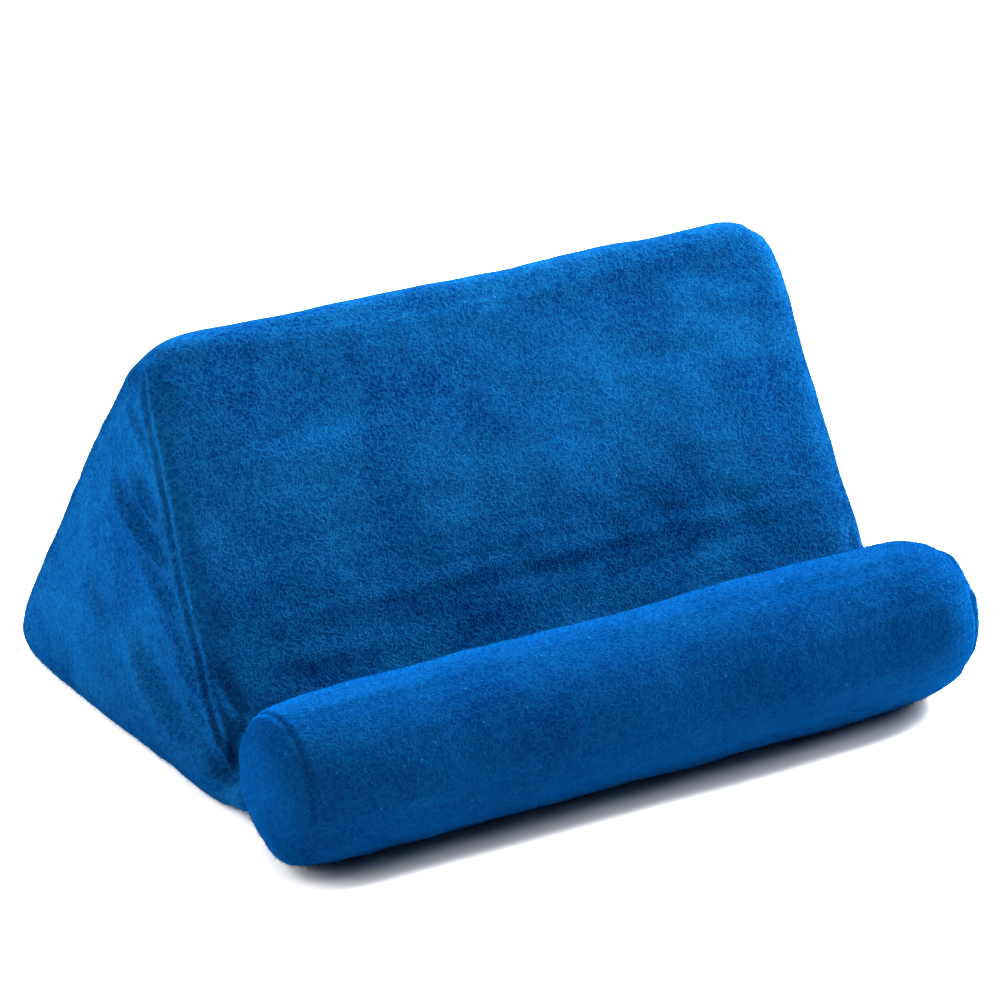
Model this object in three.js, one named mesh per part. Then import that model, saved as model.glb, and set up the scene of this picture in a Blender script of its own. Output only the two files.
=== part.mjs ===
// Tablet pillow stand: a filled triangular wedge cushion with a filled roll along its front foot.
// Millimetres, +Z up, +X along the roll, +Y towards the rear foot of the wedge.
// The origin is at the middle of the base, so the stand rests on z = 0.
import * as THREE from 'three';
import { mergeVertices } from 'three/addons/utils/BufferGeometryUtils.js';

// Sizes of the roll
const rollLength = 262;
const rollRadius = 27.2;
const rollAxisHeight = 26.6;      // below the radius, so the roll lies on a flat strip
const rollEndDraw = 2.2;          // how much thinner the tube is beside its end seams
const rollEndReach = 11;          // length over which the tube narrows
const capDome = 6.5;              // from the round cap's seam to the tip of its dome
const capSeamDepth = 0.7;         // groove that the stitching pulls in
const capSeamReach = 1.8;         // half width of that groove
const capFullness = 2.4;          // above 2 the dome is fuller than an ellipse
const rollSides = 56;

// Sizes of the wedge, measured backwards from the axis of the roll
const halfWidthAtRearFoot = 131;
const halfWidthAtFrontFoot = 125.5;
const halfWidthAtRidge = 119;
const pinchDepth = 5.5;           // the end panels are pulled in beside the groove, above the lip
const pinchReach = 11;
const pinchPoint = { back: 29, up: 26 };
const ridgePoint = { back: 102.5, up: 144 };
const rearFootPoint = { back: 190.2, up: 0 };
const faceFootPoint = { back: 33.5, up: 17.5 };
const solePoint = { back: 42, up: 0 };
const joinSeamAngle = THREE.MathUtils.degToRad(41.5);
const clearance = 0.43;           // between the wedge's lip and the roll it is sewn to
const lipRounding = 2.6;
const lipRecess = 0.27 * lipRounding; // what the rounding takes off the lip's tip
const rearFootRounding = 17;
const frontCrown = 3;
const rearCrown = 5;
const edgeWidth = 6;              // soft edge from the wrap to the end panels, along X
const edgeDraw = 3.5;             // and how far it draws the outline in
const endPanelDome = 3;
const wedgeSpan = rearFootPoint.back - 0.344 * rearFootRounding;  // as far as the rounded foot reaches
const depthOverall = rollRadius + wedgeSpan;
const rollAxisY = rollRadius - depthOverall / 2;

// Finish
const plushBlue = 0x0f56a8;
const plushRoughness = 0.95;

// The outline of the wedge, a row for each corner, in the order front face, lip, sole, rear.
// rounding is how far from the corner the curve starts; crown is how far the side after the
// corner swells at mid width; steps is the number of segments along that side.
const lipReach = rollRadius + clearance - lipRecess;
const wedgeCorners = [
  { corner: 'ridge', ...ridgePoint, rounding: 13, crown: frontCrown, steps: 20 },
  { corner: 'face foot', ...faceFootPoint, rounding: 5, crown: 0, steps: 1 },
  {
    corner: 'lip at the join seam',
    back: lipReach * Math.cos(joinSeamAngle),
    up: rollAxisHeight - lipReach * Math.sin(joinSeamAngle),
    rounding: lipRounding,
    crown: 0,
    steps: 4,
  },
  { corner: 'sole', ...solePoint, rounding: 11, crown: 0, steps: 16 },
  { corner: 'rear foot', ...rearFootPoint, rounding: rearFootRounding, crown: rearCrown, steps: 20 },
];
const cornerSteps = 5;

// Tension folds on an end panel, a row for each: both ends, half width and height of the ridge.
const panelFolds = [
  { fold: 'upper', back1: 106, up1: 98, back2: 70, up2: 77, halfWidth: 4.5, height: 1.1 },
  { fold: 'middle', back1: 117, up1: 89, back2: 62, up2: 67, halfWidth: 5, height: 1.6 },
  { fold: 'lower', back1: 96, up1: 73, back2: 54, up2: 51, halfWidth: 5, height: 1.4 },
  { fold: 'long', back1: 104, up1: 40, back2: 42, up2: 11, halfWidth: 6, height: 1.8 },
  { fold: 'front', back1: 71, up1: 49, back2: 36, up2: 27, halfWidth: 5, height: 1.5 },
];
const panelCentre = { back: 102, up: 47 };
const panelRings = 13;

function plushMaterial() {
  return new THREE.MeshStandardMaterial({ color: plushBlue, roughness: plushRoughness, metalness: 0 });
}

// A closed surface from rings of equal length, closed by one point at each end.
function surfaceFromRings(firstTip, rings, lastTip) {
  const count = rings[0].length;
  const positions = [...firstTip];
  const indices = [];
  rings.forEach((ring) => ring.forEach((point) => positions.push(...point)));
  positions.push(...lastTip);
  const lastIndex = rings.length * count + 1;
  for (let side = 0; side < count; side += 1) {
    const next = (side + 1) % count;
    indices.push(0, 1 + next, 1 + side);
    for (let row = 0; row < rings.length - 1; row += 1) {
      const near = 1 + row * count;
      const far = near + count;
      indices.push(near + side, far + next, far + side);
      indices.push(near + side, near + next, far + next);
    }
    const last = lastIndex - count;
    indices.push(last + side, last + next, lastIndex);
  }
  const geometry = new THREE.BufferGeometry();
  geometry.setAttribute('position', new THREE.Float32BufferAttribute(positions, 3));
  geometry.setIndex(indices);
  geometry.computeVertexNormals();
  return geometry;
}

// A lathe leaves triangles with two equal corners at its poles.
function dropEmptyTriangles(geometry) {
  const index = Array.from(geometry.index.array);
  const kept = [];
  for (let i = 0; i < index.length; i += 3) {
    const corners = index.slice(i, i + 3);
    if (new Set(corners).size === 3) kept.push(...corners);
  }
  geometry.setIndex(kept);
}

// Radius of the roll at a distance in from its tip.
function rollRadiusAt(fromTip) {
  const tubeRadius = rollRadius - rollEndDraw * Math.exp(-(fromTip - capDome) / rollEndReach);
  const seam = capSeamDepth * Math.exp(-(((fromTip - capDome) / capSeamReach) ** 2));
  if (fromTip >= capDome) return tubeRadius - seam;
  const reach = (capDome - fromTip) / capDome;
  const dome = (1 - reach ** capFullness) ** (1 / capFullness);
  return (rollRadius - rollEndDraw) * dome - seam;
}

// The roll: a lathed profile turned onto X, pressed flat where it lies.
function rollGeometry() {
  const fromTip = [0, 0.15, 0.6, 1.4, 2.6, 4.2, 5.4, capDome, 7.6, 9, 11.5, 15, 21, 32, 50, 75, 105];
  const half = fromTip.map((distance) => [
    distance === 0 ? 0 : rollRadiusAt(distance),
    distance - rollLength / 2,
  ]);
  const otherHalf = half.map(([radius, along]) => [radius, -along]).reverse();
  const profile = [...half, ...otherHalf].map(([radius, along]) => new THREE.Vector2(radius, along));
  const lathed = new THREE.LatheGeometry(profile, rollSides);
  lathed.deleteAttribute('uv');
  lathed.deleteAttribute('normal');
  const geometry = mergeVertices(lathed, 1e-3);
  dropEmptyTriangles(geometry);
  geometry.rotateZ(-Math.PI / 2);
  geometry.translate(0, rollAxisY, rollAxisHeight);
  const position = geometry.getAttribute('position');
  for (let i = 0; i < position.count; i += 1) {
    position.setZ(i, Math.max(position.getZ(i), 0));
  }
  geometry.computeVertexNormals();
  return geometry;
}

// Points round the wedge's outline at a share of its full crown.
function wedgeOutline(crownShare) {
  const corners = wedgeCorners.map((row) => new THREE.Vector2(row.back, row.up));
  const points = [];
  wedgeCorners.forEach((row, i) => {
    const here = corners[i];
    const before = corners[(i + corners.length - 1) % corners.length];
    const after = corners[(i + 1) % corners.length];
    const nextRow = wedgeCorners[(i + 1) % corners.length];
    const start = here.clone().lerp(before, row.rounding / here.distanceTo(before));
    const end = here.clone().lerp(after, row.rounding / here.distanceTo(after));
    const curve = new THREE.QuadraticBezierCurve(start, here, end);
    points.push(...curve.getPoints(cornerSteps));
    const sideEnd = after.clone().lerp(here, nextRow.rounding / here.distanceTo(after));
    const along = sideEnd.clone().sub(end);
    const outward = new THREE.Vector2(along.y, -along.x).normalize();
    for (let step = 1; step < row.steps; step += 1) {
      const share = step / row.steps;
      const swell = row.crown * crownShare * Math.sin(Math.PI * share) ** 1.3;
      points.push(end.clone().addScaledVector(along, share).addScaledVector(outward, swell));
    }
  });
  return points;
}

// Height above an end panel that its folds add at a point of the panel.
function foldHeight(back, up) {
  let height = 0;
  panelFolds.forEach((row) => {
    const start = new THREE.Vector3(row.back1, row.up1, 0);
    const end = new THREE.Vector3(row.back2, row.up2, 0);
    const point = new THREE.Vector3(back, up, 0);
    const line = new THREE.Line3(start, end);
    const share = line.closestPointToPointParameter(point, true);
    const distance = line.at(share, new THREE.Vector3()).distanceTo(point);
    const taper = Math.sin(Math.PI * (0.1 + 0.8 * share));
    height += row.height * taper * Math.exp(-((distance / row.halfWidth) ** 2));
  });
  return height;
}

// Half the wedge's width at a point of its outline: the end panels lean in towards the ridge.
function wedgeHalfWidthAt(back, up) {
  const point = new THREE.Vector3(back, up, 0);
  const lip = wedgeCorners.find((row) => row.corner === 'lip at the join seam');
  const lipPoint = new THREE.Vector3(lip.back, lip.up, 0);
  const panel = new THREE.Triangle(
    lipPoint,
    new THREE.Vector3(ridgePoint.back, ridgePoint.up, 0),
    new THREE.Vector3(rearFootPoint.back, rearFootPoint.up, 0),
  );
  const share = panel.getBarycoord(point, new THREE.Vector3());
  const fromPinch = Math.hypot(back - pinchPoint.back, up - pinchPoint.up);
  const pinch = pinchDepth * Math.exp(-((fromPinch / pinchReach) ** 2));
  return share.x * halfWidthAtFrontFoot + share.y * halfWidthAtRidge
    + share.z * halfWidthAtRearFoot - pinch;
}

// A ring of the wedge, drawn in towards the middle of its end panel by scale.
function wedgeRing(side, widthShare, crownShare, scale, dome, withFolds) {
  return wedgeOutline(crownShare).map((point) => {
    const back = panelCentre.back + (point.x - panelCentre.back) * scale;
    const up = panelCentre.up + (point.y - panelCentre.up) * scale;
    const fold = withFolds ? foldHeight(back, up) : 0;
    const across = side * (wedgeHalfWidthAt(back, up) * widthShare + dome + fold);
    return [across, rollAxisY + back, up];
  });
}

// The wedge: rings along the wrap, a soft edge, then rings over each domed end panel.
function wedgeGeometry() {
  const inradius = panelCentre.up;
  const seamScale = 1 - edgeDraw / inradius;
  const rings = [];
  const panel = (side) => {
    const panelSet = [];
    for (let ring = 1; ring < panelRings; ring += 1) {
      const share = ring / panelRings;
      const scale = seamScale * share;
      panelSet.push(wedgeRing(side, 1, 0, scale, endPanelDome * (1 - share ** 2), true));
    }
    return panelSet;
  };
  const wrapShares = [-1, -0.985, -0.955, -0.9, -0.8, -0.62, -0.4, -0.15, 0.15, 0.4, 0.62, 0.8, 0.9, 0.955,
    0.985, 1];
  rings.push(...panel(-1));
  wrapShares.forEach((share) => {
    const side = Math.sign(share);
    const width = Math.abs(share);
    const edgeStart = 1 - edgeWidth / halfWidthAtFrontFoot;
    const intoEdge = Math.max(0, (width - edgeStart) / (1 - edgeStart));
    const draw = edgeDraw * (1 - Math.sqrt(1 - intoEdge ** 2));
    rings.push(wedgeRing(side, width, (1 - width ** 2) ** 0.6, 1 - draw / inradius, 0, false));
  });
  rings.push(...panel(1).reverse());
  const tip = (side) => {
    const fold = foldHeight(panelCentre.back, panelCentre.up);
    const across = side * (wedgeHalfWidthAt(panelCentre.back, panelCentre.up) + endPanelDome + fold);
    return [across, rollAxisY + panelCentre.back, panelCentre.up];
  };
  return surfaceFromRings(tip(-1), rings, tip(1));
}

function namedMesh(name, geometry) {
  const mesh = new THREE.Mesh(geometry, plushMaterial());
  mesh.name = name;
  return mesh;
}

const stand = new THREE.Group();
stand.add(namedMesh('wedge_cushion', wedgeGeometry()));
stand.add(namedMesh('bolster_roll', rollGeometry()));

export default stand;
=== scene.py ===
# Tablet pillow stand in short blue plush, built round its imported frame. Blender units are metres.
import math

import bpy
import numpy as np
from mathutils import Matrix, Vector, kdtree, noise
from mathutils.bvhtree import BVHTree


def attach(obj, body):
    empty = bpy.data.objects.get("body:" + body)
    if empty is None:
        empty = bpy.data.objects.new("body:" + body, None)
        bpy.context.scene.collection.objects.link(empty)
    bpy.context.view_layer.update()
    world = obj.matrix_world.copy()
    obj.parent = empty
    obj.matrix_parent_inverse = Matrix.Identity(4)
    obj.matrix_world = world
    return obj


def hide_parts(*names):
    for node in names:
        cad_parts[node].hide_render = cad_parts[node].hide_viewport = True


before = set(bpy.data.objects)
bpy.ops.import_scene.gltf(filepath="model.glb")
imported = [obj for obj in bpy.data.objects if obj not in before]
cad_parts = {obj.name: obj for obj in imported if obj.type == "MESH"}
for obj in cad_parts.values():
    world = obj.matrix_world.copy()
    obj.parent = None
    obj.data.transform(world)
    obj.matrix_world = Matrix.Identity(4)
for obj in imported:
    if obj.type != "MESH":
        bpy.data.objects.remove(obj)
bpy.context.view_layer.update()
MM = 0.001

# Places on the stand, in millimetres, as its solids have them
ROLL_LENGTH = 262.0
ROLL_RADIUS = 27.2
ROLL_AXIS_UP = 26.6
ROLL_AXIS_BACK = -78.576
CAP_DOME = 6.5

# The camera stands at the photograph's angle
CAMERA_PLACE = (-759.5, -1289.7, 727.2)
CAMERA_YAW = 30.53
CAMERA_DOWN = 23.81
CAMERA_LENS = 176.4


def set_camera():
    data = bpy.data.cameras.new("camera")
    data.lens = CAMERA_LENS
    data.sensor_width = 36.0
    data.clip_end = 50.0
    camera = bpy.data.objects.new("camera", data)
    bpy.context.collection.objects.link(camera)
    camera.location = Vector(CAMERA_PLACE) * MM
    camera.rotation_euler = (math.radians(90 - CAMERA_DOWN), 0, -math.radians(CAMERA_YAW))
    bpy.context.scene.camera = camera


def set_floor():
    bpy.ops.mesh.primitive_plane_add(size=30, location=(0, 0, 0))
    floor = bpy.context.object
    floor.name = "floor"
    material = bpy.data.materials.new("pale_floor")
    material.use_nodes = True
    shader = material.node_tree.nodes["Principled BSDF"]
    shader.inputs["Base Color"].default_value = (0.9, 0.9, 0.9, 1)
    shader.inputs["Roughness"].default_value = 0.7
    shader.inputs["Specular IOR Level"].default_value = 0.0
    floor.data.materials.append(material)


def add_softbox(name, place, size, power, aim=(0, 0, 0.05)):
    data = bpy.data.lights.new(name, "AREA")
    data.shape = "RECTANGLE"
    data.size, data.size_y = size
    data.energy = power
    light = bpy.data.objects.new(name, data)
    bpy.context.collection.objects.link(light)
    light.location = place
    light.rotation_euler = (Vector(aim) - Vector(place)).to_track_quat("-Z", "Y").to_euler()


def set_light():
    world = bpy.data.worlds.new("studio")
    world.use_nodes = True
    sky = world.node_tree.nodes["Background"]
    sky.inputs["Color"].default_value = (1, 1, 1, 1)
    sky.inputs["Strength"].default_value = 0.02
    bpy.context.scene.world = world
    add_softbox("far_right_box", (1.3, 0.35, 1.4), (1.2, 1.2), 300)
    add_softbox("right_box", (1.6, -0.2, 1.1), (1.2, 1.2), 50)
    add_softbox("rear_left_box", (-1.1, 0.8, 0.8), (1.0, 1.0), 25)
    add_softbox("top_left_box", (-0.8, 0.2, 1.3), (1.2, 1.2), 16)
    add_softbox("low_left_box", (-1.3, 0.6, 0.35), (0.8, 0.5), 12)
    bpy.context.scene.view_settings.view_transform = "Standard"


def select_only(piece):
    bpy.ops.object.select_all(action="DESELECT")
    piece.select_set(True)
    bpy.context.view_layer.objects.active = piece


def points_of(piece):
    points = np.empty(len(piece.data.vertices) * 3)
    piece.data.vertices.foreach_get("co", points)
    return points.reshape(-1, 3)


def set_points(piece, points):
    piece.data.vertices.foreach_set("co", np.ascontiguousarray(points).ravel())
    piece.data.update()


def normals_of(piece):
    normals = np.empty(len(piece.data.vertices) * 3)
    piece.data.vertices.foreach_get("normal", normals)
    return normals.reshape(-1, 3)


def apply_modifier(piece, name):
    select_only(piece)
    bpy.ops.object.modifier_apply(modifier=name)


def spread(piece, values, rounds):
    """Evens values out between neighbouring points of the piece's mesh."""
    edges = np.empty(len(piece.data.edges) * 2, np.int32)
    piece.data.edges.foreach_get("vertices", edges)
    start, end = edges[0::2], edges[1::2]
    neighbours = np.bincount(edges, minlength=len(values))
    for _ in range(rounds):
        even = np.empty_like(values)
        for axis in range(values.shape[1]):
            total = np.bincount(start, values[end, axis], len(values))
            total += np.bincount(end, values[start, axis], len(values))
            even[:, axis] = total / neighbours
        values = (values + even) / 2
    return values


def cover_from(node, name, outset, voxel):
    """An evenly meshed and smoothed copy of a node's solid, with its surface moved out a little."""
    cover = bpy.data.objects.new(name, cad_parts[node].data.copy())
    bpy.context.collection.objects.link(cover)
    cover.data.materials.clear()
    select_only(cover)
    bpy.ops.object.mode_set(mode="EDIT")
    bpy.ops.mesh.select_all(action="SELECT")
    bpy.ops.mesh.remove_doubles(threshold=0.00001)
    bpy.ops.mesh.normals_make_consistent(inside=False)
    bpy.ops.transform.shrink_fatten(value=outset * MM)
    bpy.ops.object.mode_set(mode="OBJECT")
    remesh = cover.modifiers.new("even_mesh", "REMESH")
    remesh.mode = "VOXEL"
    remesh.voxel_size = voxel * MM
    remesh.use_smooth_shade = True
    apply_modifier(cover, "even_mesh")
    set_points(cover, spread(cover, points_of(cover), 3))
    return cover


def weigh(piece, name, weights):
    group = piece.vertex_groups.new(name=name)
    for index in np.flatnonzero(weights > 0.01):
        group.add([int(index)], float(weights[index]), "REPLACE")


def inflate(piece, held, gathered, pressure, shrink, cap):
    """Fills the cover like a cushion and keeps the wrinkles that come, each up to cap millimetres."""
    start = points_of(piece)
    weigh(piece, "held", held)
    weigh(piece, "gathered", gathered)
    cloth = piece.modifiers.new("filling", "CLOTH")
    cloth.settings.quality = 4
    cloth.settings.mass = 0.2
    cloth.settings.tension_stiffness = 12
    cloth.settings.compression_stiffness = 12
    cloth.settings.shear_stiffness = 5
    cloth.settings.bending_stiffness = 0.3
    cloth.settings.use_pressure = True
    cloth.settings.uniform_pressure_force = pressure
    cloth.settings.effector_weights.gravity = 0
    cloth.settings.vertex_group_mass = "held"
    cloth.settings.vertex_group_shrink = "gathered"
    cloth.settings.shrink_min = 0
    cloth.settings.shrink_max = shrink
    for step in range(1, 21):
        bpy.context.scene.frame_set(step)
    apply_modifier(piece, "filling")
    bpy.context.scene.frame_set(1)
    moved = spread(piece, points_of(piece) - start, 2)
    wrinkles = moved - spread(piece, moved, 120)
    length = np.linalg.norm(wrinkles, axis=1, keepdims=True)
    kept = cap * MM * np.tanh(length / (cap * MM)) / np.maximum(length, 1e-9)
    set_points(piece, start + wrinkles * kept)
    piece.vertex_groups.clear()


# The wedge seen from its end, a row for each corner: back from the roll's axis, up, rounding
RIDGE = (102.5, 144.0)
REAR_FOOT = (190.2, 0.0)
LIP = (20.2, 8.7)
WEDGE_CORNERS = (
    (42.0, 0.0, 11.0),
    (*REAR_FOOT, 17.0),
    (*RIDGE, 13.0),
    (33.5, 17.5, 5.0),
    (*LIP, 2.6),
)
PANEL_CENTRE = (102.0, 47.0)
SEAM_SCALE = 0.91
STITCH = 0.7
LIP_HALF_WIDTH, RIDGE_HALF_WIDTH, REAR_HALF_WIDTH = 125.5, 119.0, 131.0
PINCH = (29.0, 26.0)
PINCH_DEPTH, PINCH_REACH = 5.5, 11.0


def half_width(back, up):
    """Half the wedge's width at a point of an end panel, which leans in towards the ridge."""
    corners = np.array([[*LIP, 1.0], [*RIDGE, 1.0], [*REAR_FOOT, 1.0]])
    slope = np.linalg.solve(corners, [LIP_HALF_WIDTH, RIDGE_HALF_WIDTH, REAR_HALF_WIDTH])
    from_pinch = math.dist((back, up), PINCH)
    return float(slope @ (back, up, 1.0)) - PINCH_DEPTH * math.exp(-((from_pinch / PINCH_REACH) ** 2))


def rounded_outline():
    """The corners joined by straight sides and curved at each corner, as (back, up) points."""
    outline = []
    for i, (back, up, rounding) in enumerate(WEDGE_CORNERS):
        here = Vector((back, up))
        before = Vector(WEDGE_CORNERS[i - 1][:2])
        after = Vector(WEDGE_CORNERS[(i + 1) % len(WEDGE_CORNERS)][:2])
        start = here.lerp(before, rounding / (here - before).length)
        end = here.lerp(after, rounding / (here - after).length)
        for step in range(9):
            share = step / 8
            outline.append(start.lerp(here, share).lerp(here.lerp(end, share), share))
    return outline


def evenly(points, spacing):
    """Points along a path, one every spacing."""
    steps = np.linalg.norm(np.diff(points, axis=0), axis=1)
    ends = np.concatenate([[0.0], np.cumsum(steps)])
    stations = np.arange(0, ends[-1], spacing)
    return np.stack([np.interp(stations, ends, points[:, axis]) for axis in range(3)], axis=1)


def laid_on(piece, path):
    """The path moved onto the piece's surface."""
    faces = [tuple(face.vertices) for face in piece.data.polygons]
    surface = BVHTree.FromPolygons([tuple(p) for p in points_of(piece)], faces)
    return np.array([surface.find_nearest(Vector(p))[0] for p in path])


def wedge_seam(side):
    """The seam round one end panel, from the sole's front round to the front foot, in metres."""
    points = []
    for place in rounded_outline():
        back = PANEL_CENTRE[0] + (place.x - PANEL_CENTRE[0]) * SEAM_SCALE
        up = PANEL_CENTRE[1] + (place.y - PANEL_CENTRE[1]) * SEAM_SCALE
        points.append((side * half_width(back, up), ROLL_AXIS_BACK + back, up))
    seam = evenly(np.array(points) * MM, STITCH * MM)
    return seam[:int(0.965 * len(seam))]


def cap_seam(side):
    """The seam round one cap of the roll, in metres."""
    turns = np.linspace(0, 2 * math.pi, 230)
    across = np.full_like(turns, side * (ROLL_LENGTH / 2 - CAP_DOME))
    radius = ROLL_RADIUS - 2.6
    back = ROLL_AXIS_BACK + radius * np.cos(turns)
    up = ROLL_AXIS_UP + radius * np.sin(turns)
    return np.stack([across, back, up], axis=1) * MM


def panel_line(places, side):
    """A line over an end panel through (back, up) places, in metres."""
    points = [(side * (half_width(*place) + 2.5), ROLL_AXIS_BACK + place[0], place[1]) for place in places]
    return evenly(np.array(points) * MM, STITCH * MM)


def near(points, path, reach):
    """For the points within reach of a path: their numbers, distances and nearest steps of the path."""
    tree = kdtree.KDTree(len(path))
    for i, place in enumerate(path):
        tree.insert(place, i)
    tree.balance()
    inside = np.flatnonzero(((points > path.min(0) - reach) & (points < path.max(0) + reach)).all(1))
    found = [(i, *tree.find(points[i])[1:]) for i in inside]
    found = [(i, distance, step) for i, step, distance in found if distance < reach]
    if not found:
        return np.empty(0, int), np.empty(0), np.empty(0, int)
    index, distance, step = (np.array(column) for column in zip(*found))
    return index, distance, step


def push_out(piece, index, height):
    """Moves some points along their normals, by heights in millimetres."""
    points, normals = points_of(piece), normals_of(piece)
    points[index] += normals[index] * (height * MM)[:, None]
    set_points(piece, points)


def waves(count, pitch, seed):
    """Uneven waves along a path, mostly from -1 to 1, about pitch steps long."""
    return np.array([
        1.3 * noise.noise((i / pitch, seed, 0.0)) + 0.6 * noise.noise((i / pitch * 2.3, seed, 7.0))
        for i in range(count)
    ])


def sew(piece, path, depth, width, gather, reach, pitch, seed, fade=0.0):
    """Pulls a seam in along the path, with small gathers on both sides, fading out over its ends."""
    path = laid_on(piece, path)
    points = points_of(piece)
    index, distance, step = near(points, path, 3 * reach * MM)
    away = distance / MM
    outer = (np.abs(points[index, 0]) > np.abs(path[step, 0])).astype(int)
    pattern = np.stack([waves(len(path), pitch, seed), waves(len(path), pitch, seed + 31)])
    groove = -depth * np.exp(-((away / width) ** 2))
    beside = 0.4 * depth * np.exp(-(((away - 2.2 * width) / width) ** 2))
    gathers = gather * pattern[outer, step] * np.exp(-away / reach) * (1 - np.exp(-((away / width) ** 2)))
    from_end = np.minimum(step, len(path) - 1 - step) * STITCH
    strength = np.clip(from_end / fade, 0, 1) if fade else 1.0
    push_out(piece, index, (groove + beside + gathers) * strength)


def soften(piece, path, reach, rounds):
    """Rounds off the edge that a seam runs along."""
    points = points_of(piece)
    index, distance, _ = near(points, path, reach * MM)
    share = np.zeros((len(points), 1))
    share[index, 0] = 1 - (distance / (reach * MM)) ** 2
    set_points(piece, points + (spread(piece, points, rounds) - points) * share)


def fold(piece, line, height, width, room):
    """Raises a soft fold along the line, with a trough on its upper side, where room lets it."""
    line = laid_on(piece, line)
    points, normals = points_of(piece), normals_of(piece)
    index, distance, step = near(points, line, 5 * width * MM)
    share = step / (len(line) - 1)
    taper = np.sin(math.pi * share)
    ahead = line[np.minimum(step + 2, len(line) - 1)] - line[np.maximum(step - 2, 0)]
    across = np.cross(ahead, normals[index]) * np.sign(line[0, 0])
    side = np.sign(np.einsum("ij,ij->i", points[index] - line[step], across))
    offset = side * distance / MM / width
    profile = np.exp(-(offset ** 2)) - 0.5 * np.exp(-((offset - 1.8) ** 2) / 1.1)
    push_out(piece, index, height * taper * profile * room[index])


def room_beside(piece, path, start, end):
    """0 within start millimetres of the path, growing to 1 at end millimetres."""
    points = points_of(piece)
    index, distance, _ = near(points, laid_on(piece, path), end * MM)
    room = np.ones(len(points))
    room[index] = np.clip((distance / MM - start) / (end - start), 0, 1)
    return room


def dent(piece, place, depth, radius):
    """Presses a soft dimple in, or swells a lobe out where depth is negative."""
    points = points_of(piece)
    distance = np.linalg.norm(points - np.array(place) * MM, axis=1) / (radius * MM)
    index = np.flatnonzero(distance < 3)
    push_out(piece, index, -depth * np.exp(-(distance[index] ** 2)))


def ruffle(piece, height, size, seed):
    """Uneven filling under the cloth."""
    points = points_of(piece) / (size * MM) + np.array((seed, 0, 0))
    swell = np.array([noise.noise(p) for p in points])
    push_out(piece, np.arange(len(swell)), swell * height)


def rest_on_floor(piece):
    points = points_of(piece)
    points[:, 2] = np.maximum(points[:, 2], 0.0)
    set_points(piece, points)


def subdivide(piece):
    finer = piece.modifiers.new("finer", "SUBSURF")
    finer.levels = 1
    finer.render_levels = 1
    apply_modifier(piece, "finer")


def refine(piece, path, reach):
    """Splits the faces along a seam, so that its groove has faces enough."""
    index, _, _ = near(points_of(piece), laid_on(piece, path), reach * MM)
    chosen = set(index.tolist())
    select_only(piece)
    bpy.ops.object.mode_set(mode="EDIT")
    bpy.ops.mesh.select_all(action="DESELECT")
    bpy.ops.object.mode_set(mode="OBJECT")
    for face in piece.data.polygons:
        face.select = all(corner in chosen for corner in face.vertices)
    bpy.ops.object.mode_set(mode="EDIT")
    bpy.ops.mesh.select_mode(type="FACE")
    bpy.ops.mesh.subdivide(number_cuts=1, smoothness=0.0)
    bpy.ops.object.mode_set(mode="OBJECT")


# Tension folds of the end panels: the (back, up) places that each runs through, its height, half width
PANEL_FOLDS = (
    (((109, 117), (98, 112), (90, 104), (88, 97)), 1.0, 2.6),
    (((105, 97), (93, 91), (80, 84), (70, 77)), 1.4, 3.0),
    (((116, 88), (107, 86), (92, 81), (81, 76), (70, 70), (63, 67)), 2.2, 3.4),
    (((95, 72), (80, 66), (69, 60), (57, 56), (54, 51)), 1.8, 3.4),
    (((103, 39), (92, 36), (81, 29), (66, 21), (51, 15), (40, 10)), 2.4, 4.2),
    (((70, 48), (59, 43), (47, 37), (37, 31)), 1.8, 3.4),
    (((90, 67), (74, 55), (60, 48), (50, 44)), 0.9, 2.4),
    (((62, 34), (51, 28), (41, 22)), 1.1, 2.3),
    (((48, 47), (40, 39), (34, 31)), 1.2, 2.0),
    (((54, 21), (43, 17), (34, 15)), 1.0, 2.0),
    (((131, 52), (124, 44), (112, 37)), 0.8, 4.0),
)


# Dimples of the end panels, and lobes with a depth below nothing: back, up, depth, radius
PANEL_DENTS = (
    (36, 23, 6.5, 5.0),
    (38, 14, 7.0, 5.5),
    (30, 4, -3.0, 6.0),
    (103, 127, 1.4, 4.0),
    (102, 140, 4.4, 10.0),
    (184, 9, -0.8, 6.0),
)


FOOT_HEIGHT, FOOT_NARROWING = 28.0, 0.012


def draw_in_foot(wedge):
    """The end panels lean in a little where they meet the floor."""
    points = points_of(wedge)
    low = np.clip(1 - points[:, 2] / (FOOT_HEIGHT * MM), 0, 1)
    points[:, 0] *= 1 - FOOT_NARROWING * low
    set_points(wedge, points)


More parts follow.
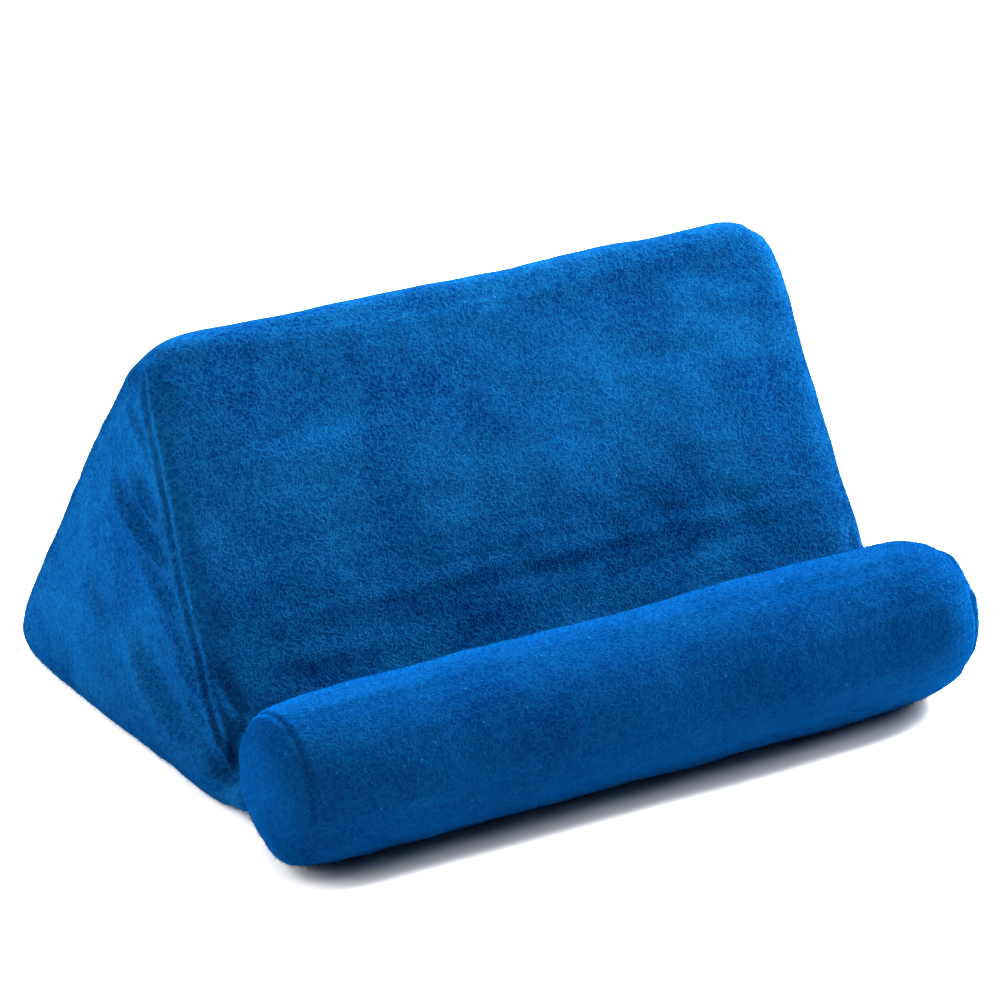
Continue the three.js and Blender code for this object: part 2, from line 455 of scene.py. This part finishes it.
def make_wedge():
    wedge = cover_from("wedge_cushion", "wedge_cover", outset=1.2, voxel=3.0)
    points = points_of(wedge)
    held = np.clip(1.0 - (points[:, 2] / MM - 1.5) / 4.0, 0, 1)
    gathered = np.zeros(len(points))
    for side in (-1, 1):
        index, distance, _ = near(points, laid_on(wedge, wedge_seam(side)), 12 * MM)
        gathered[index] = np.maximum(gathered[index], 1 - distance / (12 * MM))
        held[index] = np.maximum(held[index], np.exp(-((distance / (2.5 * MM)) ** 2)))
    inflate(wedge, held, gathered, pressure=4.0, shrink=0.06, cap=0.45)
    subdivide(wedge)
    for side in (-1, 1):
        refine(wedge, wedge_seam(side), 4.5)
    ruffle(wedge, height=1.1, size=36, seed=3.1)
    ruffle(wedge, height=0.4, size=12, seed=9.4)
    draw_in_foot(wedge)
    for side, strength in ((-1, 1.9), (1, 1.1)):
        seam = wedge_seam(side)
        front_seam = seam[int(0.68 * len(seam)):]
        room = room_beside(wedge, front_seam, start=2, end=9)
        for places, height, width in PANEL_FOLDS:
            fold(wedge, panel_line(places, side), height * strength, width, room)
        for back, up, depth, radius in PANEL_DENTS:
            dent(wedge, (side * half_width(back, up), ROLL_AXIS_BACK + back, up), depth, radius)
        sew(wedge, seam, depth=0.9, width=1.0, gather=0.25, reach=5, pitch=13, seed=12.5 + side, fade=8)
    rest_on_floor(wedge)
    return wedge


# The roll's ends: how far each is filled out, and the right end's thickening and narrowing as shares
LEFT_FILL, RIGHT_FILL = 1.3, 1.9
RIGHT_THICKENING, RIGHT_NARROWING = 0.045, 0.22


def shape_ends(roll):
    """The roll grows a little thicker to the right, then rounds off to its cap. Both ends are full."""
    points = points_of(roll)
    left_end = np.clip((-points[:, 0] / MM - 100) / 25, 0, 1)
    points[:, 0] -= LEFT_FILL * MM * left_end
    right_part = np.clip((points[:, 0] / MM - 20) / 85, 0, 1)
    points[:, 2] *= 1 + RIGHT_THICKENING * right_part
    right_end = np.clip((points[:, 0] / MM - 110) / 22, 0, 1)
    narrowing = 1 - RIGHT_NARROWING * right_end ** 1.8
    middle = np.array((ROLL_AXIS_BACK, ROLL_AXIS_UP + 5)) * MM
    points[:, 1:] = middle + (points[:, 1:] - middle) * narrowing[:, None]
    points[:, 0] += RIGHT_FILL * MM * right_end
    set_points(roll, points)


def make_roll():
    roll = cover_from("bolster_roll", "roll_cover", outset=0.0, voxel=2.4)
    points = points_of(roll)
    held = np.clip(1.0 - (points[:, 2] / MM - 1.0) / 3.0, 0, 1)
    gathered = np.zeros(len(points))
    for side, pull in ((-1, 0.5), (1, 1.0)):
        index, distance, _ = near(points, laid_on(roll, cap_seam(side)), 14 * MM)
        gathered[index] = np.maximum(gathered[index], pull * (1 - distance / (14 * MM)))
        held[index] = np.maximum(held[index], np.exp(-((distance / (2 * MM)) ** 2)))
    inflate(roll, held, gathered, pressure=4.0, shrink=0.05, cap=0.35)
    for side in (-1, 1):
        soften(roll, cap_seam(side), reach=11, rounds=14)
    subdivide(roll)
    ruffle(roll, height=0.8, size=38, seed=5.2)
    ruffle(roll, height=0.3, size=10, seed=1.7)
    for side, gather, reach in ((-1, 0.3, 6), (1, 0.9, 10)):
        refine(roll, cap_seam(side), 4)
        sew(roll, cap_seam(side), depth=0.4, width=0.8, gather=gather, reach=reach, pitch=12,
            seed=4.5 + side)
    shape_ends(roll)
    dent(roll, (-129, ROLL_AXIS_BACK - 8, 9), depth=-2.0, radius=8)
    rest_on_floor(roll)
    return roll


def shader_input(group, name, kind, value):
    socket = group.interface.new_socket(name, in_out="INPUT", socket_type=kind)
    socket.default_value = value


def add_noise(nodes, links, place, scale, detail, distortion):
    texture = nodes.new("ShaderNodeTexNoise")
    texture.inputs["Detail"].default_value = detail
    texture.inputs["Distortion"].default_value = distortion
    links.new(place, texture.inputs["Vector"])
    if isinstance(scale, (int, float)):
        texture.inputs["Scale"].default_value = scale
    else:
        links.new(scale, texture.inputs["Scale"])
    return texture.outputs["Fac"]


def add_range(nodes, links, value, start, end, low=0.0, high=1.0):
    ramp = nodes.new("ShaderNodeMapRange")
    ramp.inputs["From Min"].default_value = start
    ramp.inputs["From Max"].default_value = end
    ramp.inputs["To Min"].default_value = low
    ramp.inputs["To Max"].default_value = high
    links.new(value, ramp.inputs["Value"])
    return ramp.outputs["Result"]


def add_math(nodes, links, operation, first, second):
    step = nodes.new("ShaderNodeMath")
    step.operation = operation
    for socket, value in zip(step.inputs, (first, second)):
        if isinstance(value, (int, float)):
            socket.default_value = value
        else:
            links.new(value, socket)
    return step.outputs["Value"]


def add_mix(nodes, links, share, first, second):
    mix = nodes.new("ShaderNodeMix")
    mix.data_type = "RGBA"
    links.new(share, mix.inputs["Factor"])
    links.new(first, mix.inputs["A"])
    links.new(second, mix.inputs["B"])
    return mix.outputs["Result"]


def add_strands(nodes, links, place, scale, width):
    """Thin winding lines, as the fibres of a short pile lie."""
    field = add_noise(nodes, links, place, scale, 1.0, 0.4)
    centred = add_math(nodes, links, "SUBTRACT", field, 0.5)
    distance = add_math(nodes, links, "ABSOLUTE", centred, 0.0)
    return add_range(nodes, links, distance, width, 0.0)


def make_nap_group():
    """Short plush: brushed patches, fine winding fibres and stray bits of lint."""
    group = bpy.data.node_groups.new("plush_nap", "ShaderNodeTree")
    shader_input(group, "Pile light", "NodeSocketColor", (0.01, 0.2, 0.6, 1))
    shader_input(group, "Pile dark", "NodeSocketColor", (0.001, 0.05, 0.2, 1))
    shader_input(group, "Lint colour", "NodeSocketColor", (0.02, 0.16, 0.42, 1))
    shader_input(group, "Patch scale", "NodeSocketFloat", 30.0)
    shader_input(group, "Fibre scale", "NodeSocketFloat", 420.0)
    shader_input(group, "Brushing", "NodeSocketFloat", 0.2)
    group.interface.new_socket("Colour", in_out="OUTPUT", socket_type="NodeSocketColor")
    group.interface.new_socket("Roughness", in_out="OUTPUT", socket_type="NodeSocketFloat")
    group.interface.new_socket("Height", in_out="OUTPUT", socket_type="NodeSocketFloat")
    nodes, links = group.nodes, group.links
    given = nodes.new("NodeGroupInput")
    result = nodes.new("NodeGroupOutput")
    place = nodes.new("ShaderNodeTexCoord").outputs["Object"]

    patches = add_noise(nodes, links, place, given.outputs["Patch scale"], 3.0, 0.6)
    sway = add_range(nodes, links, patches, 0.34, 0.66, -1.0, 1.0)
    brushed = add_math(nodes, links, "MULTIPLY", sway, given.outputs["Brushing"])
    long_fibres = add_strands(nodes, links, place, given.outputs["Fibre scale"], 0.11)
    finer = add_math(nodes, links, "MULTIPLY", given.outputs["Fibre scale"], 1.9)
    short_fibres = add_strands(nodes, links, place, finer, 0.13)
    grain = add_noise(nodes, links, place, 1500.0, 2.0, 0.0)
    fainter = add_math(nodes, links, "MULTIPLY", short_fibres, 0.7)
    fibres = add_math(nodes, links, "ADD", fainter, long_fibres)
    raised = add_math(nodes, links, "MULTIPLY", fibres, 0.31)
    fine_grain = add_range(nodes, links, grain, 0.0, 1.0, 0.13, 0.87)
    speckled = add_math(nodes, links, "ADD", raised, fine_grain)
    height = add_math(nodes, links, "SUBTRACT", speckled, 0.26)
    shade = add_math(nodes, links, "ADD", height, brushed)
    pile = add_mix(nodes, links, shade, given.outputs["Pile dark"], given.outputs["Pile light"])

    specks = nodes.new("ShaderNodeTexVoronoi")
    specks.inputs["Scale"].default_value = 240
    links.new(place, specks.inputs["Vector"])
    fleck = add_range(nodes, links, specks.outputs["Distance"], 0.08, 0.04, 0.0, 0.5)
    lint = add_mix(nodes, links, fleck, pile, given.outputs["Lint colour"])
    links.new(lint, result.inputs["Colour"])
    links.new(add_range(nodes, links, height, 0.0, 1.0, 1.0, 0.85), result.inputs["Roughness"])
    links.new(height, result.inputs["Height"])
    return group


def make_plush(name, group, light, dark, patch_scale, brushing, bump, sheen):
    material = bpy.data.materials.new(name)
    material.use_nodes = True
    nodes, links = material.node_tree.nodes, material.node_tree.links
    shader = nodes["Principled BSDF"]
    nap = nodes.new("ShaderNodeGroup")
    nap.node_tree = group
    nap.inputs["Pile light"].default_value = (*light, 1)
    nap.inputs["Pile dark"].default_value = (*dark, 1)
    nap.inputs["Patch scale"].default_value = patch_scale
    nap.inputs["Brushing"].default_value = brushing
    relief = nodes.new("ShaderNodeBump")
    relief.inputs["Strength"].default_value = bump
    relief.inputs["Distance"].default_value = 0.5 * MM
    links.new(nap.outputs["Colour"], shader.inputs["Base Color"])
    links.new(nap.outputs["Roughness"], shader.inputs["Roughness"])
    links.new(nap.outputs["Height"], relief.inputs["Height"])
    links.new(relief.outputs["Normal"], shader.inputs["Normal"])
    shader.inputs["Specular IOR Level"].default_value = 0.0
    shader.inputs["Sheen Weight"].default_value = sheen
    shader.inputs["Sheen Roughness"].default_value = 0.5
    shader.inputs["Sheen Tint"].default_value = (0.0, 0.25, 1.0, 1)
    return material


def make_fibre():
    """One fibre of the pile: a thin closed spike."""
    bpy.ops.object.select_all(action="DESELECT")
    bpy.ops.mesh.primitive_cone_add(vertices=3, radius1=0.09 * MM, radius2=0, depth=1.5 * MM)
    spike = bpy.context.object
    spike.name = "fibre_pattern"
    set_points(spike, points_of(spike) + np.array((0, 0, 0.45)) * MM)
    return spike


def add_pile(cover, name, fibre, density, seed):
    """Loose fibres standing out of the cover, as one mesh of their own."""
    pile = bpy.data.objects.new(name, cover.data.copy())
    bpy.context.collection.objects.link(pile)
    tree = bpy.data.node_groups.new(name, "GeometryNodeTree")
    tree.interface.new_socket("Geometry", in_out="INPUT", socket_type="NodeSocketGeometry")
    tree.interface.new_socket("Geometry", in_out="OUTPUT", socket_type="NodeSocketGeometry")
    nodes, links = tree.nodes, tree.links
    given = nodes.new("NodeGroupInput")
    result = nodes.new("NodeGroupOutput")
    scatter = nodes.new("GeometryNodeDistributePointsOnFaces")
    scatter.inputs["Density"].default_value = density
    scatter.inputs["Seed"].default_value = seed
    lean = nodes.new("FunctionNodeRandomValue")
    lean.data_type = "FLOAT_VECTOR"
    lean.inputs[0].default_value = (-1.1, -1.1, -math.pi)
    lean.inputs[1].default_value = (1.1, 1.1, math.pi)
    lean.inputs["Seed"].default_value = seed + 1
    turn = nodes.new("FunctionNodeRotateRotation")
    turn.rotation_space = "LOCAL"
    size = nodes.new("FunctionNodeRandomValue")
    size.inputs[2].default_value = 0.6
    size.inputs[3].default_value = 1.2
    size.inputs["Seed"].default_value = seed + 2
    one = nodes.new("GeometryNodeObjectInfo")
    one.inputs["Object"].default_value = fibre
    plant = nodes.new("GeometryNodeInstanceOnPoints")
    real = nodes.new("GeometryNodeRealizeInstances")
    links.new(given.outputs["Geometry"], scatter.inputs["Mesh"])
    links.new(scatter.outputs["Points"], plant.inputs["Points"])
    links.new(scatter.outputs["Rotation"], turn.inputs["Rotation"])
    links.new(lean.outputs["Value"], turn.inputs["Rotate By"])
    links.new(turn.outputs["Rotation"], plant.inputs["Rotation"])
    links.new(size.outputs[1], plant.inputs["Scale"])
    links.new(one.outputs["Geometry"], plant.inputs["Instance"])
    links.new(plant.outputs["Instances"], real.inputs["Geometry"])
    links.new(real.outputs["Geometry"], result.inputs["Geometry"])
    grow = pile.modifiers.new("pile", "NODES")
    grow.node_group = tree
    apply_modifier(pile, "pile")
    points = points_of(pile)
    points[:, 2] = np.maximum(points[:, 2], 0.0)
    set_points(pile, points)
    return pile


def make_tip_material(colour):
    """The loose fibre tips, all of one blue."""
    material = bpy.data.materials.new("pile_tips")
    material.use_nodes = True
    shader = material.node_tree.nodes["Principled BSDF"]
    shader.inputs["Base Color"].default_value = (*colour, 1)
    shader.inputs["Roughness"].default_value = 0.9
    shader.inputs["Specular IOR Level"].default_value = 0.0
    return material


set_camera()
set_floor()
set_light()

nap_group = make_nap_group()
wedge_plush = make_plush(
    "wedge_plush", nap_group, light=(0.003, 0.063, 0.175), dark=(0.0003, 0.008, 0.053),
    patch_scale=26, brushing=0.17, bump=0.6, sheen=0.16,
)
# The roll's plush is the wedge's cloth with a darker base colour, which paints in the shade on the roll's
# front and cap, and with more sheen on top
roll_plush_painted_shade = make_plush(
    "roll_plush_painted_shade", nap_group, light=(0.0013, 0.032, 0.095), dark=(0.0001, 0.0045, 0.038),
    patch_scale=30, brushing=0.12, bump=0.5, sheen=0.32,
)
tips = make_tip_material((0.001, 0.045, 0.15))

wedge_cover = make_wedge()
roll_cover = make_roll()
# Covers: the piece, the node it replaces, its plush and how full it is
covers = (
    (wedge_cover, "wedge_cushion", wedge_plush, 0.75),
    (roll_cover, "bolster_roll", roll_plush_painted_shade, 0.85),
)
for cover, node, plush, fill in covers:
    cover.data.materials.append(plush)
    select_only(cover)
    bpy.ops.object.shade_smooth()
    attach(cover, "root")
    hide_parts(node)

# Loose fibres: the cover they stand on, their name, fibres a square metre, seed
piles = (
    (wedge_cover, "wedge_pile", 3.2e5, 5),
    (roll_cover, "roll_pile", 8.5e5, 17),
)
fibre = make_fibre()
for cover, name, density, seed in piles:
    pile = add_pile(cover, name, fibre, density, seed)
    pile.data.materials.clear()
    pile.data.materials.append(tips)
    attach(pile, "root")
bpy.data.objects.remove(fibre)
